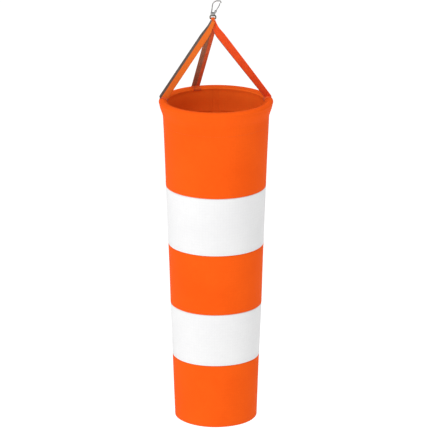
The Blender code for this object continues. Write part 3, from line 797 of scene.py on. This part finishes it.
def crown_loop():
    """The folded webbing that gathers the straps and passes through the swivel's eye."""
    low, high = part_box("crown_loop")
    radius = (high.y - low.y) / 2 - WEB_THICK / 2
    fold_z = high.z - WEB_THICK / 2 - radius
    legs = np.linspace(low.z, fold_z, 14)
    line = [(-radius, z) for z in legs]
    turns = np.linspace(0, math.pi, 19)[1:-1]
    line += [(-radius * math.cos(a), fold_z + radius * math.sin(a)) for a in turns]
    line += [(radius, z) for z in legs[::-1]]
    middle = (low.x + high.x) / 2
    centres = [(middle, y, z) for y, z in line]
    faces_to = [(0, y, max(z - fold_z, 0)) for y, z in line]
    made, _ = ribbon("web_crown", centres, [high.x - low.x] * len(line), faces_to,
                     WEB_THICK - 0.0001)
    starts, ends, normals = [], [], []
    for row in range(4):
        z = low.z + 0.0022 + row * CROWN_ROW_PITCH
        for step in range(-1, 2):
            x = middle + step * CROWN_STITCH_PITCH
            starts.append(np.array([x - 0.0007, low.y, z + 0.0004]))
            ends.append(np.array([x + 0.0007, low.y, z - 0.0004]))
            normals.append(np.array([0.0, -1.0, 0.0]))
    verts, faces = stitch_mesh(starts, ends, normals, STRONG_THREAD_RADIUS, STRONG_THREAD_ARCH)
    rows = make_object("thread_crown", verts, faces, SHADE_RED_THREAD)
    return made, rows


# --- Build -----------------------------------------------------------------------------------------
for index in range(5):
    sheet, flat = band(index)
    stitches = band_thread(index)
    for piece in (sheet, stitches):
        if index == 0:
            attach(piece, BODIES[0])
        else:
            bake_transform(piece)

loop, loop_rows = crown_loop()
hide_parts("crown_loop")
for piece in (loop, loop_rows):
    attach(piece, "bridle")

for side in STRAP_AZIMUTHS:
    web, length = strap(side)
    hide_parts(f"strap_{side}")
    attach(web, "bridle")
    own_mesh(web)
    end, rows, length = strap_end(side)
    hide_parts(f"strap_end_{side}")
    for piece in (end, rows):
        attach(piece, "mouth")

for node, look in (("hook_body", STEEL), ("gate", STEEL), ("gate_rivet", STEEL),
                   ("gate_spring", STEEL), ("swivel_eye", SWIVEL_METAL), ("hoop", HOOP_PLASTIC),
                   ("hoop_plug", PLUG_PLASTIC)):
    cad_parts[node].data.materials.clear()
    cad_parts[node].data.materials.append(look)


# --- Studio ----------------------------------------------------------------------------------------
FLOOR_Z = -1.7
FLOOR_GLOW = 0.54
SKY_STRENGTH = 0.56
MIDDLE = (0, 0, -0.42)  # of the object
# each lamp's place, aim, size and power
LAMPS = {"side": ((-2.0, -2.8, -0.25), MIDDLE, 1.4, 10),
         "key": ((-1.45, -1.9, 1.75), (0, 0, -0.25), 1.2, 33),
         "top": ((0.55, -0.5, 2.4), MIDDLE, 1.2, 16)}
CAMERA_PLACE = Vector((-0.0013, -5.9, 1.426))
CAMERA_AIM = Vector((-0.0013, 0, -0.42))
LENS = 276.3
CAMERA_SHIFT_Y = 0.01146


def studio():
    """A pale floor far below, three soft lamps, and the camera."""
    floor_mesh = bmesh.new()
    bmesh.ops.create_grid(floor_mesh, x_segments=2, y_segments=2, size=40.0)
    data = bpy.data.meshes.new("floor")
    floor_mesh.to_mesh(data)
    floor_mesh.free()
    floor = bpy.data.objects.new("floor", data)
    floor.location = (0, 0, FLOOR_Z)
    bpy.context.scene.collection.objects.link(floor)
    g = Graph("floor")
    tone = g.noise(g.add("ShaderNodeTexCoord").outputs["Object"], 0.8)
    g.finish(Base_Color=g.mix(tone, rgb(0.9, 0.9, 0.9), rgb(0.93, 0.93, 0.93)), Roughness=0.9)
    g.shader.inputs["Emission Color"].default_value = rgb(1, 1, 1)
    g.shader.inputs["Emission Strength"].default_value = FLOOR_GLOW
    data.materials.append(g.material)

    world = bpy.data.worlds.new("studio")
    world.use_nodes = True
    world.node_tree.nodes["Background"].inputs["Color"].default_value = rgb(1.0, 1.0, 1.0)
    world.node_tree.nodes["Background"].inputs["Strength"].default_value = SKY_STRENGTH
    bpy.context.scene.world = world

    for name, (place, aim, size, power) in LAMPS.items():
        lamp = bpy.data.lights.new(name, "AREA")
        lamp.size = size
        lamp.energy = power
        made = bpy.data.objects.new(name, lamp)
        made.location = place
        made.rotation_mode = "QUATERNION"
        made.rotation_quaternion = (Vector(aim) - Vector(place)).to_track_quat("-Z", "Y")
        bpy.context.scene.collection.objects.link(made)

    camera = bpy.data.cameras.new("camera")
    camera.sensor_width = 36
    camera.lens = LENS
    camera.shift_y = CAMERA_SHIFT_Y
    camera.clip_end = 200
    seat = bpy.data.objects.new("camera", camera)
    seat.location = CAMERA_PLACE
    seat.rotation_mode = "QUATERNION"
    sight = (CAMERA_AIM - CAMERA_PLACE).normalized()
    seat.rotation_quaternion = sight.to_track_quat("-Z", "Y")
    bpy.context.scene.collection.objects.link(seat)
    bpy.context.scene.camera = seat
    bpy.context.scene.view_settings.view_transform = "Standard"


studio()
